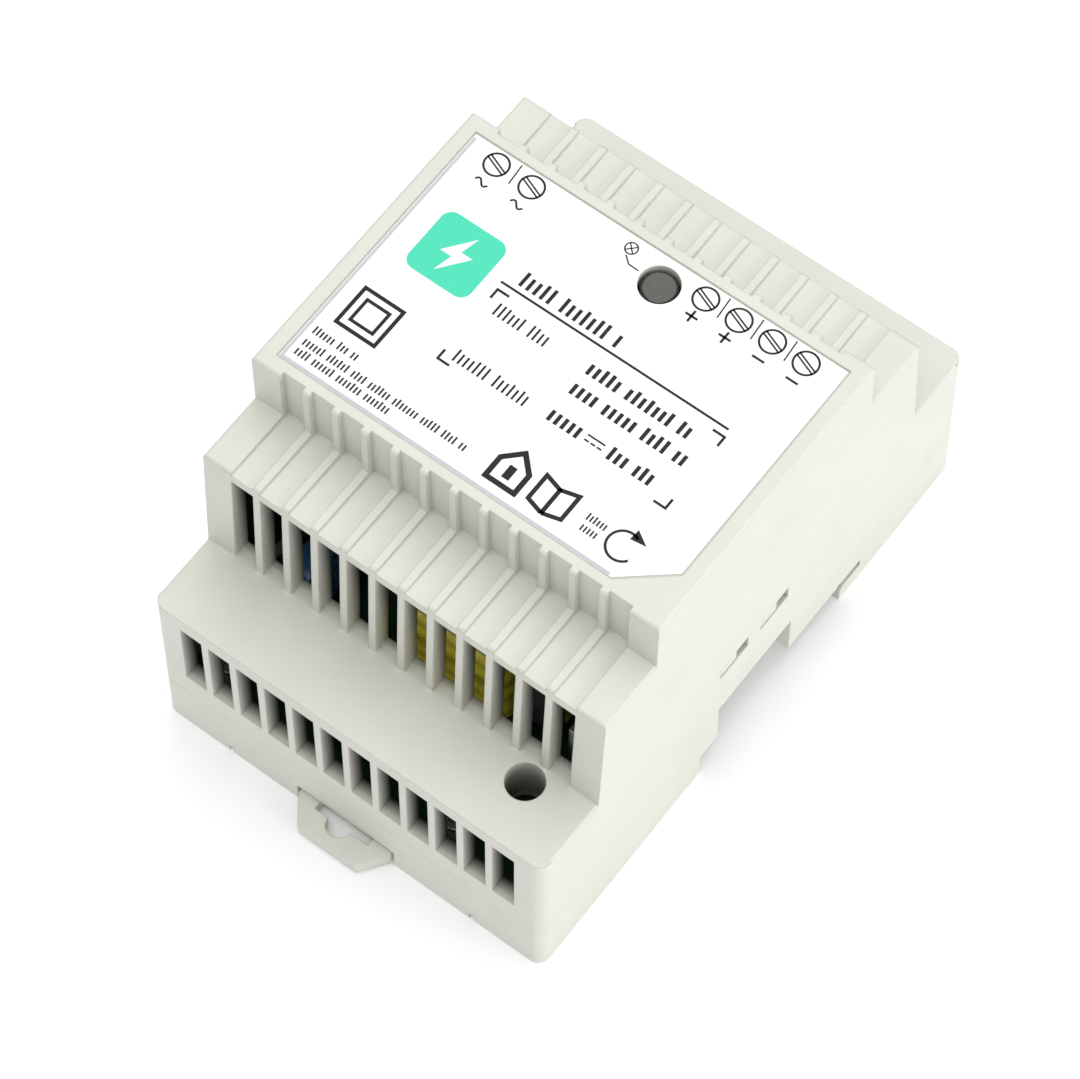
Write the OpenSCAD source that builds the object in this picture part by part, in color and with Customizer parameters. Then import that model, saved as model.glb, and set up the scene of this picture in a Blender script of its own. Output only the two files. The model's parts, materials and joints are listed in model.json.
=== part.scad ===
// DIN rail power supply in a stepped modular housing.
// +X runs along the rail, +Y is up the wall towards the terminals, +Z points away from the wall.
// The origin is the centre of the rail seat, on the plane that the rail's flanges bear on.
// The modules work in housing coordinates: centred on the front face, with the back face at z = 0.

/* [Housing] */
// Width of the housing along the rail, three and a half modules less assembly play
body_w = 62.5; // [62:0.5:66]
// Height of the housing at the back face
body_h = 93.2; // [92:0.2:96]
// Depth from the back face to the front face
body_d = 60; // [58:0.5:64]
// Height of the front face, the size of a distribution board cut-out
face_h = 45; // [44:0.5:45.5]
// Height of the middle step at its outer edge
mid_h = 66.2; // [65:0.2:68]
// Level of the middle steps above the back face
mid_z = 50.5; // [49:0.5:52]
// Level of the terminal steps above the back face
low_z = 30; // [29.5:0.5:31]
// Level of the seam between the base and the cover
seam_z = 9.5; // [9:0.5:10]
// Wall thickness of the two shells
wall = 2.5; // [2.2:0.1:2.6]
// Radius of the four upright corners
corner_r = 1.8; // [1.2:0.2:4]
// Chamfer on the edges of the face and the treads
edge_cut = 0.3; // [0.2:0.05:0.4]
// How much the end walls lean in from the back face to the terminal step
end_draft = 0.7; // [0.4:0.1:1]
// How much the vented walls lean in over their height
mid_draft = 1.3; // [0.8:0.1:1.5]

/* [Vents and ribs] */
// Number of vent slots in a row
slot_count = 12; // [10:1:12]
// Distance between neighbouring slots
slot_pitch = 4.56; // [4.4:0.02:4.6]
// Width of each slot
slot_w = 3.45; // [3:0.05:3.5]
// Depth of the shallow panels between the ribs
panel_depth = 0.8; // [0.5:0.1:0.9]

/* [Rail] */
// Overall width of the top hat rail
rail_w = 35; // [35:0.1:35.3]
// Width of the rail behind its flanges
rail_hat_w = 27; // [25:0.5:27]
// Thickness of the rail's flange
rail_t = 1; // [1:0.1:1.5]
// Height of the rail's centre above the centre of the front face
rail_y = 6; // [5:0.5:6.5]
// Depth of the rail seat from the back face
seat_z = 4.6; // [4.6:0.1:5]
// Distance of the release foot from the centre line
foot_x = -0.9; // [-2:0.1:2]
// Travel of the release foot
foot_travel = 4.2; // [3.8:0.1:4.4]

/* [Terminals] */
// Distance between neighbouring clamps in a terminal block
pole_pitch = 5.08; // [5:0.08:5.08]
// Number of input clamps
input_poles = 2; // [2:1:2]
// Number of output clamps
output_poles = 4; // [4:1:4]
// Thread pitch of the clamp screws
screw_pitch = 0.5; // [0.4:0.05:0.6]
// Travel of a clamp cage from open to closed
cage_travel = 2.5; // [2:0.1:2.6]

/* [Front panel] */
// Diameter of the indicator hole
led_hole_d = 5.6; // [5.4:0.1:6]
// Diameter of the voltage adjustment hole
trim_hole_d = 5.3; // [5:0.1:5.6]
// Thickness of the front label
label_t = 0.15; // [0.1:0.05:0.2]

/* [Hidden] */
$fn = 48;
e = 0.5;
hw = body_w / 2;
back_y = body_h / 2;
end_lean = end_draft / low_z;
end_angle = atan(end_lean);
face_y = face_h / 2;
face_foot_y = face_y + 0.2;
mid_y = mid_h / 2;
mid_foot_y = mid_y + mid_draft;
low_y = back_y - end_draft;
side_wall = 2;
inner_hw = hw - side_wall;
edge_slot_x = slot_pitch * (slot_count - 1) / 2;

// Rail channel
rail_gap = 0.25;
seat_half = rail_w / 2 + rail_gap;
seat_near_y = rail_y - seat_half;
jaw_y = rail_y + rail_hat_w / 2 + 0.5;
hook_depth = 4.6;
hook_slot_y = jaw_y + hook_depth;
jaw_z = seat_z - rail_t - 0.6;
seat_wall = 2;

// Side notches, and the lips and latch tabs that the base holds the cover with
lip_t = 1;
lip_h = 2.2;
notch_half = 8;
notch_top_z = 13;
tab_t = 1.6;
tab_x = inner_hw - 0.1 - tab_t;
latch_ys = [-8.2, 0.6];
latch_w = 6;
latch_z = 22.4;
latch_h = 2.6;

// Release foot
foot_w = 15;
foot_tab_w = 9.6;
foot_top_z = 2.9;
foot_z = 0.3;
foot_end_y = -back_y - 4;
foot_rail_w = 11;
foot_rail_z = 1.2;
foot_play = 0.3;
foot_hook_y = rail_y - rail_hat_w / 2 - 0.4;
spring_r = 1.1;
spring_wire = 0.4;
spring_turns = 9;
spring_near_y = -35;
spring_far_y = -21.5;
spring_window_w = 3.4;
foot_wide_y = -back_y + wall - foot_play;

// Circuit board
pcb_w = 54;
pcb_h = 87;
pcb_t = 1.6;
pcb_z = 10;
pcb_top = pcb_z + pcb_t;
boss_r = 2.9;
boss_spots = [[-24, -40], [13, -40], [-10, 40], [1, 40]];
boss_hole_r = 1.1;
board_hole_r = 1.6;
sheet_z = seat_z + seat_wall;
sheet_t = 0.3;

// Heat sinks
primary_sink_x = -6.5;
switch_y = 3;
output_sink_x = 23.6;
diode_y = 5;
sink_h = 24;
tab_hole_z = 16.1;

// Terminal clamps
input_x = -21.5;
output_x = 16.5;
block_y = 34.7;
block_front_y = 43.4;
block_top_z = 27.2;
clamp_y = 39;
entry_z = 15.2;
entry_r = 2.1;
entry_bore_r = 1.7;
access_r = 2.2;
cage_w = 3.9;
cage_l = 5.4;
cage_h = 7;
cage_z = 12.4;
cage_wall = 0.45;
cage_base = 0.8;
cage_top = 1.4;
cage_play = 0.3;
tongue_z = cage_z + cage_h - cage_top - 1;
tongue_t = 0.6;
screw_r = 1.2;
thread_gap = 0.05;
head_r = 1.9;
head_z = 23.2;
head_h = 2;
head_slot_w = 0.6;
head_slot_depth = 0.9;
head_play = 0.3;

// Adjustment and indicator
trim_x = 22;
trim_y = -37.3;
guide_z = 20;
trimmer_w = 6.6;
trimmer_h = 4.8;
rotor_r = 1.8;
rotor_gap = 0.06;
led_x = 2.8;
led_y = 16.2;
led_r = 2.5;
led_base_z = 50.4;
led_top_z = 59.2;
label_w = 57.8;
label_h = 40.2;
label_recess = 0.3;
label_cut = [6.6, 5.5];

// Mains filter choke
choke_x = -20;
choke_y = 6.2;
choke_r = 6.7;
choke_hole_r = 3.6;
choke_t = 6.2;

// Transformer
core_x = 4.4;
core_y = -19.2;
core_w = 25;
core_d = 11;
core_z = 15.2;
core_h = 29.6;
leg_w = 3.5;
centre_leg_w = 8.2;
yoke_h = 4.2;
winding_w = 16.8;
winding_d = 21.4;
flange_t = 1.2;

function pole_x(centre, poles, i) = centre + (i - (poles - 1) / 2) * pole_pitch;
function input_pole(i) = pole_x(input_x, input_poles, i - 1);
function output_pole(i) = pole_x(output_x, output_poles, i - 1);
function clamp_xs() = [
  for (i = [1:input_poles]) input_pole(i),
  for (i = [1:output_poles]) output_pole(i),
];

module in_frame() {
  translate([0, -rail_y, -seat_z])
    children();
}

// Extrudes an outline drawn as (y, z) by w along X, centred on x = 0.
module along_x(w) {
  translate([-w / 2, 0, 0])
    rotate([90, 0, 90])
      linear_extrude(w)
        children();
}

// A box from its lowest corner and its highest corner.
module block(low, high) {
  translate(low)
    cube(high - low);
}

module tube(r, z0, z1, x = 0, y = 0) {
  translate([x, y, z0])
    cylinder(r = r, h = z1 - z0);
}

module on_both_sides() {
  children();
  mirror([1, 0, 0])
    children();
}

module on_both_ends() {
  children();
  mirror([0, 1, 0])
    children();
}

module each_slot() {
  for (i = [0:slot_count - 1])
    translate([i * slot_pitch - edge_slot_x, 0, 0])
      children();
}

// What is cut away to round one upright corner that leans with the end wall.
module corner_waste() {
  translate([hw - corner_r, back_y - corner_r / cos(end_angle), 0])
    rotate([end_angle, 0, 0])
      difference() {
        block([0, 0, -e], [corner_r + 2, corner_r + 2, low_z + 2]);
        tube(corner_r, -1, low_z + 3);
      }
}

module rounded_corners() {
  difference() {
    children();
    on_both_sides()
      on_both_ends()
        corner_waste();
  }
}

// Corners of the cover's stepped outline on the terminal side, as (y, z), drawn in by t.
function cover_steps(t, bottom) = [
  [back_y - bottom * end_lean - t, bottom],
  [low_y + t * end_lean - t, low_z - t],
  [mid_foot_y - t, low_z - t],
  [mid_y - t, mid_z - t],
  [face_foot_y - t, mid_z - t],
  [face_y - t, body_d - t],
];

module cover_outline(t, bottom) {
  steps = cover_steps(t, bottom);
  polygon([
    for (p = steps) p,
    for (i = [len(steps) - 1:-1:0]) [-steps[i][0], steps[i][1]],
  ]);
}

// What is cut away to chamfer the side edge of a level face, from y0 to y1 at height z.
module side_edge_waste(y0, y1, z) {
  side = edge_cut * sqrt(2);
  translate([hw, (y0 + y1) / 2, z])
    rotate([0, 45, 0])
      cube([side, y1 - y0, side], center = true);
}

module cross_edge_waste(y, z) {
  side = edge_cut * sqrt(2);
  translate([0, y, z])
    rotate([45, 0, 0])
      cube([body_w + 1, side, side], center = true);
}

// Chamfers the edges of the face and of the treads, up to the rounded corners.
module cover_edge_waste() {
  on_both_sides() {
    side_edge_waste(-face_y - 1, face_y + 1, body_d);
    on_both_ends() {
      side_edge_waste(face_foot_y, mid_y + 1, mid_z);
      side_edge_waste(mid_foot_y, low_y - corner_r, low_z);
    }
  }
  on_both_ends() {
    cross_edge_waste(face_y, body_d);
    cross_edge_waste(mid_y, mid_z);
  }
}

// Shallow panels between the ribs, on the face wall and the middle step of both ends.
module rib_panels() {
  each_slot()
    on_both_ends()
      along_x(slot_w)
        polygon([
          [face_y - panel_depth, body_d + e],
          [face_y - panel_depth, mid_z - panel_depth],
          [mid_y + e, mid_z - 0.45],
          [mid_y + e, body_d + e],
        ]);
}

module vent_slots() {
  each_slot()
    on_both_ends()
      block([-slot_w / 2, mid_y - wall - 2, low_z], [slot_w / 2, mid_foot_y + 2, mid_z - 1.9]);
  each_slot()
    block([-slot_w / 2, -back_y - 1, 14], [slot_w / 2, -low_y + wall + 1, low_z - 2.6]);
}

module latch_windows() {
  on_both_sides()
    for (y = latch_ys)
      block([inner_hw - e, y, latch_z], [hw + e, y + latch_w, latch_z + latch_h]);
}

module side_notches() {
  on_both_sides()
    block([inner_hw - e, -notch_half, seam_z - 1], [hw + e, notch_half, notch_top_z]);
}

module label_outline(grow = 0) {
  x = label_w / 2 + grow;
  y = label_h / 2 + grow;
  polygon([
    [-x, -y],
    [x - label_cut[0], -y],
    [x, -y + label_cut[1]],
    [x, y],
    [-x, y],
  ]);
}

module wire_entries() {
  for (x = clamp_xs())
    translate([x, low_y - wall - 1, entry_z])
      rotate([-90, 0, 0])
        cylinder(r = entry_r, h = wall + 3);
}

module top_housing() color("gainsboro") in_frame() {
  difference() {
    union() {
      difference() {
        rounded_corners()
          along_x(body_w)
            cover_outline(0, seam_z);
        along_x(2 * inner_hw)
          cover_outline(wall, seam_z - e);
      }
      tube(trim_hole_d / 2 + 1, guide_z, low_z - wall + e, trim_x, trim_y);
    }
    rib_panels();
    vent_slots();
    cover_edge_waste();
    latch_windows();
    side_notches();
    wire_entries();
    for (x = clamp_xs())
      tube(access_r, low_z - wall - e, low_z + e, x, clamp_y);
    tube(trim_hole_d / 2, guide_z - e, low_z + e, trim_x, trim_y);
    tube(led_hole_d / 2, body_d - wall - e, body_d + e, led_x, led_y);
    translate([0, 0, body_d - label_recess])
      linear_extrude(1)
        label_outline(0.2);
  }
}

module base_outline() {
  polygon([
    [-back_y, 0],
    [back_y, 0],
    [back_y - seam_z * end_lean, seam_z],
    [-back_y + seam_z * end_lean, seam_z],
  ]);
}

// Everything that the rail needs clear: the hat, both flanges and the hook's slot.
module rail_channel() {
  along_x(body_w + 2)
    polygon([
      [seat_near_y, -1],
      [seat_near_y, seat_z],
      [hook_slot_y, seat_z],
      [hook_slot_y, jaw_z],
      [jaw_y + 0.6, jaw_z],
      [jaw_y, jaw_z - 0.6],
      [jaw_y, -1],
    ]);
  for (y = [rail_y - rail_hat_w / 2 - 0.4, rail_y + rail_hat_w / 2 - 0.1])
    block([-hw - 1, y, seat_z - e], [hw + 1, y + 0.5, seat_z + 0.4]);
}

module foot_channel() {
  wide = foot_w / 2 + foot_play;
  narrow = foot_rail_w / 2 + foot_play;
  translate([foot_x, 0, 0]) {
    block([-wide, -back_y - e, foot_rail_z], [wide, seat_near_y + e, foot_top_z + foot_play]);
    block([-narrow, -back_y - e, -e], [narrow, seat_near_y + e, foot_rail_z + e]);
    block([-wide, -back_y - e, -e], [wide, -back_y + wall, foot_rail_z + e]);
    block([-wide - 0.2, -back_y - e, -e], [wide + 0.2, -back_y + 1.2, foot_top_z + 0.8]);
  }
}

module latch_tab() {
  y0 = latch_ys[0] - 0.6;
  y1 = latch_ys[1] + latch_w + 0.6;
  block([tab_x, y0, seat_z + 0.5], [tab_x + tab_t, y1, latch_z + latch_h + 1.4]);
  for (y = latch_ys)
    translate([0, y + 0.15, 0])
      rotate([90, 0, 0])
        mirror([0, 0, 1])
          linear_extrude(0.58 * latch_w)
            polygon([
              [tab_x + tab_t - e, latch_z + 0.35],
              [hw - 0.1, latch_z + 0.35],
              [hw - 0.1, latch_z + latch_h - 0.6],
              [hw - 0.4, latch_z + latch_h - 0.15],
              [tab_x + tab_t - e, latch_z + latch_h - 0.15],
            ]);
}

module base_housing() color("lightgray") in_frame() {
  difference() {
    union() {
      difference() {
        rounded_corners()
          along_x(body_w)
            base_outline();
        block([-inner_hw, -back_y + wall, 2], [inner_hw, back_y - wall, seam_z + 1]);
      }
      block([-hw, seat_near_y - seat_wall, 0], [hw, hook_slot_y + seat_wall, seat_z + seat_wall]);
      translate([foot_x, 0, 0])
        block([-foot_w / 2 - 2, -back_y + 1, 1], [foot_w / 2 + 2, seat_near_y, foot_top_z + 2]);
      for (p = boss_spots)
        tube(boss_r, 1, pcb_z, p[0], p[1]);
      on_both_sides()
        block([inner_hw - 0.1 - lip_t, -40, 1], [inner_hw - 0.1, 40, seam_z + lip_h]);
      on_both_sides()
        block([inner_hw - 0.2, -40, 1], [inner_hw + e, 40, seam_z]);
    }
    rail_channel();
    foot_channel();
    on_both_sides()
      block([tab_x + tab_t, -notch_half, seat_z - e], [hw + e, notch_half, seam_z + 4]);
    on_both_sides()
      block([inner_hw - 3, -notch_half, seat_z + seat_wall], [hw + e, notch_half, seam_z + 4]);
    for (p = boss_spots)
      tube(boss_hole_r, 3, pcb_z + e, p[0], p[1]);
    for (x = [-20, 20])
      block([x - 0.5, -back_y - e, -e], [x + 0.5, -back_y + 0.6, 1.4]);
  }
  on_both_sides()
    latch_tab();
  translate([foot_x, 0, 0])
    block([-1.1, spring_near_y - 2.2, foot_z + 0.2], [1.1, spring_near_y, foot_top_z + 1]);
}

module front_label() color("white") in_frame() {
  translate([0, 0, body_d - label_recess])
    linear_extrude(label_t)
      difference() {
        label_outline();
        translate([led_x, led_y])
          circle(d = led_hole_d);
      }
}

module rail_foot() color("lightgray") in_frame() translate([foot_x, 0, 0]) {
  difference() {
    union() {
      block([-foot_w / 2, foot_wide_y - e, foot_rail_z + foot_play],
            [foot_w / 2, seat_near_y - 1.5, foot_top_z]);
      // The hook ends in a ramp, so that a rail pressed against it pushes the foot back.
      along_x(foot_rail_w)
        polygon([
          [foot_wide_y - e, foot_z],
          [foot_hook_y - 2, foot_z],
          [foot_hook_y, foot_z + 2],
          [foot_hook_y, foot_top_z],
          [foot_wide_y - e, foot_top_z],
        ]);
      translate([0, 0, foot_z])
        linear_extrude(foot_top_z - foot_z)
          polygon([
            [-foot_w / 2, foot_wide_y],
            [-foot_w / 2, -back_y - 0.3],
            [-foot_tab_w / 2, foot_end_y],
            [foot_tab_w / 2, foot_end_y],
            [foot_w / 2, -back_y - 0.3],
            [foot_w / 2, foot_wide_y],
          ]);
    }
    // Slot and half-round notch for the screwdriver that pulls the foot out.
    block([-4.4, -back_y - 0.8, -e], [4.4, -back_y + 0.9, foot_top_z + e]);
    tube(1.8, -e, foot_top_z + e, -0.4, -back_y - 0.8);
    // Window for the spring, closed by the bar that the spring pushes on.
    block([-spring_window_w / 2, spring_near_y - 2.2 - foot_play, -e],
          [spring_window_w / 2, spring_far_y + 0.2, foot_top_z + e]);
  }
}

// Ring i of a helix of wire along Y, as wire_sides points.
function spring_ring(a, y, sides) = [
  for (k = [0:sides - 1])
    let (b = 360 * k / sides, rr = spring_r + spring_wire / 2 * cos(b))
      [rr * cos(a), y + spring_wire / 2 * sin(b), rr * sin(a)],
];

module foot_spring() color("silver") in_frame() {
  sides = 8;
  rings = spring_turns * 14;
  y0 = spring_near_y + spring_wire / 2 + 0.02;
  y1 = spring_far_y - spring_wire / 2 + 0.18;
  points = [
    for (i = [0:rings])
      each spring_ring(360 * spring_turns * i / rings, y0 + (y1 - y0) * i / rings, sides),
  ];
  walls = [
    for (i = [0:rings - 1], k = [0:sides - 1])
      [i * sides + k, i * sides + (k + 1) % sides, (i + 1) * sides + (k + 1) % sides, (i + 1) * sides + k],
  ];
  near_cap = [for (k = [sides - 1:-1:0]) k];
  far_cap = [for (k = [0:sides - 1]) rings * sides + k];
  translate([foot_x, 0, (foot_z + foot_top_z) / 2])
    polyhedron(points = points, faces = concat(walls, [near_cap, far_cap]), convexity = 10);
}

module main_pcb() color("darkgreen") in_frame() {
  difference() {
    block([-pcb_w / 2, -pcb_h / 2, pcb_z], [pcb_w / 2, pcb_h / 2, pcb_top]);
    for (p = boss_spots)
      tube(board_hole_r, pcb_z - e, pcb_top + e, p[0], p[1]);
    // Isolation slot between the mains side and the low voltage side.
    block([-1, -4, pcb_z - e], [0.5, 8, pcb_top + e]);
  }
}

module pan_head_screw(r, len, head_radius, head_height) {
  difference() {
    union() {
      cylinder(r = head_radius, h = head_height);
      translate([0, 0, -len])
        cylinder(r = r, h = len + 0.1);
    }
    translate([0, 0, head_height])
      for (a = [0, 90])
        rotate([0, 0, a])
          cube([head_radius * 1.3, 0.6, 1.6], center = true);
  }
}

module pcb_screws() color("silver") in_frame() {
  for (p = boss_spots)
    translate([p[0], p[1], pcb_top])
      pan_head_screw(boss_hole_r - 0.02, 5.5, 2.6, 1.7);
}

module insulation_sheet() color("ivory") in_frame() {
  difference() {
    block([-25, -42, sheet_z], [25, 42, sheet_z + sheet_t]);
    for (p = boss_spots)
      tube(boss_r + 0.3, sheet_z - e, sheet_z + 1, p[0], p[1]);
  }
}

module terminal_block(centre, poles) {
  half = poles * pole_pitch / 2 + 0.5;
  difference() {
    block([centre - half, block_y, pcb_top], [centre + half, block_front_y, block_top_z]);
    for (i = [0:poles - 1])
      translate([pole_x(centre, poles, i), clamp_y, 0]) {
        block([-cage_w / 2 - cage_play, -cage_l / 2 - cage_play, cage_z - cage_play],
              [cage_w / 2 + cage_play, cage_l / 2 + cage_play, cage_z + cage_h + cage_travel + cage_play]);
        tube(screw_r + head_play, cage_z + cage_h, head_z);
        tube(head_r + head_play, head_z - head_play, block_top_z + e);
        translate([0, cage_l / 2, entry_z])
          rotate([-90, 0, 0])
            cylinder(r = entry_bore_r, h = 5);
        block([-1.1, block_y - clamp_y - e, pcb_top - e], [1.1, block_y - clamp_y + 0.7, tongue_z + tongue_t]);
        block([-1.1, block_y - clamp_y - e, tongue_z], [1.1, 0, tongue_z + tongue_t]);
      }
  }
}

module input_terminal_block() color("darkgreen") in_frame() {
  terminal_block(input_x, input_poles);
}

module output_terminal_block() color("darkgreen") in_frame() {
  terminal_block(output_x, output_poles);
}

// The fixed tongue that each cage presses the wire against, with its pin in the board.
module terminal_contacts() color("gold") in_frame() {
  for (x = clamp_xs())
    translate([x, clamp_y, 0]) {
      block([-1, block_y - clamp_y, tongue_z], [1, cage_l / 2 - 0.4, tongue_z + tongue_t]);
      block([-1, block_y - clamp_y, pcb_top + 0.05], [1, block_y - clamp_y + tongue_t, tongue_z + 0.1]);
    }
}

module clamp_screw(x) {
  translate([x, clamp_y, 0])
    difference() {
      union() {
        tube(screw_r, tongue_z + tongue_t + 0.3, head_z + 0.1);
        tube(head_r, head_z, head_z + head_h);
      }
      block([-head_r - e, -head_slot_w / 2, head_z + head_h - head_slot_depth],
            [head_r + e, head_slot_w / 2, head_z + head_h + e]);
    }
}

module input_screw_1() color("silver") in_frame() clamp_screw(input_pole(1));
module input_screw_2() color("silver") in_frame() clamp_screw(input_pole(2));
module output_screw_1() color("silver") in_frame() clamp_screw(output_pole(1));
module output_screw_2() color("silver") in_frame() clamp_screw(output_pole(2));
module output_screw_3() color("silver") in_frame() clamp_screw(output_pole(3));
module output_screw_4() color("silver") in_frame() clamp_screw(output_pole(4));

module clamp_cage(x) {
  translate([x, clamp_y, cage_z])
    difference() {
      block([-cage_w / 2, -cage_l / 2, 0], [cage_w / 2, cage_l / 2, cage_h]);
      block([-cage_w / 2 + cage_wall, -cage_l / 2 - e, cage_base],
            [cage_w / 2 - cage_wall, cage_l / 2 + e, cage_h - cage_top]);
      tube(screw_r + thread_gap, cage_h - cage_top - e, cage_h + e);
    }
}

module input_cage_1() color("lightsteelblue") in_frame() clamp_cage(input_pole(1));
module input_cage_2() color("lightsteelblue") in_frame() clamp_cage(input_pole(2));
module output_cage_1() color("lightsteelblue") in_frame() clamp_cage(output_pole(1));
module output_cage_2() color("lightsteelblue") in_frame() clamp_cage(output_pole(2));
module output_cage_3() color("lightsteelblue") in_frame() clamp_cage(output_pole(3));
module output_cage_4() color("lightsteelblue") in_frame() clamp_cage(output_pole(4));

module trimmer_body() color("dimgray") in_frame() {
  difference() {
    block([trim_x - trimmer_w / 2, trim_y - trimmer_w / 2, pcb_top],
          [trim_x + trimmer_w / 2, trim_y + trimmer_w / 2, pcb_top + trimmer_h]);
    tube(rotor_r + rotor_gap, pcb_top + trimmer_h - 2, pcb_top + trimmer_h + e, trim_x, trim_y);
  }
}

module trimmer_rotor() color("white") in_frame() {
  top = pcb_top + trimmer_h + 0.3;
  difference() {
    tube(rotor_r, top - 2.2, top, trim_x, trim_y);
    translate([trim_x, trim_y, top])
      for (a = [0, 90])
        rotate([0, 0, a])
          cube([2.6, 0.6, 1.6], center = true);
  }
}

module status_led() color("seagreen") in_frame() {
  tube(led_r + 0.4, led_base_z, led_base_z + 1, led_x, led_y);
  tube(led_r, led_base_z, led_top_z - 0.3, led_x, led_y);
  translate([led_x, led_y, led_top_z - 0.3])
    cylinder(r1 = led_r, r2 = led_r - 0.3, h = 0.3);
}

// Tall tube that holds the indicator under its hole, with the two leads inside it.
module led_spacer() color("whitesmoke") in_frame() {
  difference() {
    tube(led_r + 0.3, pcb_top, led_base_z, led_x, led_y);
    for (dx = [-1.27, 1.27])
      tube(0.5, pcb_top - e, led_base_z + e, led_x + dx, led_y);
  }
  for (dx = [-1.27, 1.27])
    tube(0.3, pcb_top, led_base_z, led_x + dx, led_y);
}

module input_fuse() color("saddlebrown") in_frame() {
  tube(4.2, pcb_top, pcb_top + 8, -22, 28.5);
}

module disc_part(x, y, z, r, t, lead, angle) {
  translate([x, y, z])
    rotate([0, 0, angle]) {
      rotate([90, 0, 0])
        translate([0, 0, -t / 2])
          cylinder(r = r, h = t);
      for (dx = [-r / 2, r / 2])
        translate([dx, 0, -r - lead])
          cylinder(r = 0.35, h = r * 0.6 + lead);
    }
}

module inrush_thermistor() color("darkolivegreen") in_frame() {
  disc_part(-12, 27, pcb_top + 7, 5, 3.4, 1.9, 0);
}

module surge_varistor() color("steelblue") in_frame() {
  disc_part(-20.6, -27.5, pcb_top + 8, 6, 3.8, 1.9, 90);
}

module x_capacitor() color("goldenrod") in_frame() {
  block([-26.5, 15.5, pcb_top], [-18.2, 22.8, pcb_top + 14.5]);
}

module choke_core() color("darkslategray") in_frame() {
  translate([choke_x, choke_y, pcb_top + choke_r])
    rotate([0, 90, 0])
      difference() {
        cylinder(r = choke_r, h = choke_t, center = true);
        cylinder(r = choke_hole_r, h = choke_t + 1, center = true);
      }
}

// Two windings of separate turns round opposite sides of the ring.
module choke_windings() color("peru") in_frame() {
  mid_r = (choke_r + choke_hole_r) / 2;
  ring_w = choke_r - choke_hole_r;
  translate([choke_x, choke_y, pcb_top + choke_r])
    rotate([0, 90, 0])
      for (side = [90, 270], k = [-3:3])
        rotate([0, 0, side + k * 16])
          translate([mid_r, 0, 0])
            difference() {
              cube([ring_w + 1.5, 0.7, choke_t + 1.5], center = true);
              cube([ring_w + 0.1, 2, choke_t + 0.1], center = true);
            }
}

module bridge_rectifier() color("dimgray") in_frame() {
  block([-5.2, 15, pcb_top + 1.2], [-1.7, 29.5, pcb_top + 11.7]);
  for (y = [17, 20.5, 24, 27.5])
    tube(0.4, pcb_top, pcb_top + 1.3, -3.4, y);
}

module bulk_capacitor() color("cornflowerblue") in_frame() {
  x = -17;
  y = -12;
  difference() {
    union() {
      tube(8, pcb_top + 0.3, pcb_top + 31, x, y);
      tube(7.4, pcb_top, pcb_top + 31.3, x, y);
    }
    for (a = [0, 90])
      translate([x, y, pcb_top + 31.3])
        rotate([0, 0, a])
          cube([11, 0.5, 0.6], center = true);
  }
}

module y_capacitor() color("deepskyblue") in_frame() {
  disc_part(-1.5, 11.6, pcb_top + 6, 3.8, 3, 2.1, 0);
}

// One E-shaped half of the core, standing on its back.
module core_half() {
  difference() {
    block([-core_w / 2, -core_d / 2, 0], [core_w / 2, core_d / 2, core_h / 2]);
    on_both_sides()
      block([centre_leg_w / 2, -core_d, yoke_h], [core_w / 2 - leg_w, core_d, core_h]);
  }
}

module transformer_core() color("darkslategray") in_frame() {
  translate([core_x, core_y, core_z])
    core_half();
  translate([core_x, core_y, core_z + core_h])
    mirror([0, 0, 1])
      core_half();
}

module transformer_bobbin() color("ivory") in_frame() {
  low = core_z + yoke_h + 0.1;
  high = core_z + core_h - yoke_h - 0.1;
  translate([core_x, core_y, 0])
    difference() {
      union() {
        for (z = [low, high - flange_t])
          block([-winding_w / 2, -winding_d / 2, z], [winding_w / 2, winding_d / 2, z + flange_t]);
        block([-winding_w / 2, core_d / 2 + 0.2, pcb_top], [winding_w / 2, winding_d / 2, low + 0.1]);
        block([-winding_w / 2, -winding_d / 2, pcb_top], [winding_w / 2, -core_d / 2 - 0.2, low + 0.1]);
        block([-5.2, -core_d / 2 - 1, low], [5.2, core_d / 2 + 1, high]);
      }
      block([-4.3, -core_d / 2 - 0.1, low - 1], [4.3, core_d / 2 + 0.1, high + 1]);
    }
}

module rounded_column(w, d, r, z0, z1) {
  block([-w / 2 + r, -d / 2, z0], [w / 2 - r, d / 2, z1]);
  block([-w / 2, -d / 2 + r, z0], [w / 2, d / 2 - r, z1]);
  for (sx = [-1, 1], sy = [-1, 1])
    tube(r, z0, z1, sx * (w / 2 - r), sy * (d / 2 - r));
}

module transformer_winding() color("yellow") in_frame() {
  low = core_z + yoke_h + 0.1 + flange_t;
  high = core_z + core_h - yoke_h - 0.1 - flange_t;
  translate([core_x, core_y, 0])
    difference() {
      rounded_column(winding_w - 0.6, winding_d - 0.6, 2.5, low, high);
      block([-5.2, -core_d / 2 - 1, low - 1], [5.2, core_d / 2 + 1, high + 1]);
    }
}

// Tape that holds the two core halves together.
module transformer_band() color("gold") in_frame() {
  translate([core_x, core_y, core_z + core_h / 2])
    difference() {
      cube([core_w + 0.5, 6, core_h + 0.5], center = true);
      cube([core_w, 7, core_h], center = true);
    }
}

module power_package(x, y, z, angle) {
  translate([x, y, z])
    rotate([0, 0, angle]) {
      block([-5, -2.2, 0], [5, 2.2, 9]);
      difference() {
        block([-5, 0.9, 9], [5, 2.2, 15.5]);
        translate([0, 4, 12.6])
          rotate([90, 0, 0])
            cylinder(r = 1.7, h = 5);
      }
      for (dx = [-2.54, 0, 2.54])
        block([dx - 0.4, -0.3, -3.4], [dx + 0.4, 0.3, 0.1]);
    }
}

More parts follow.
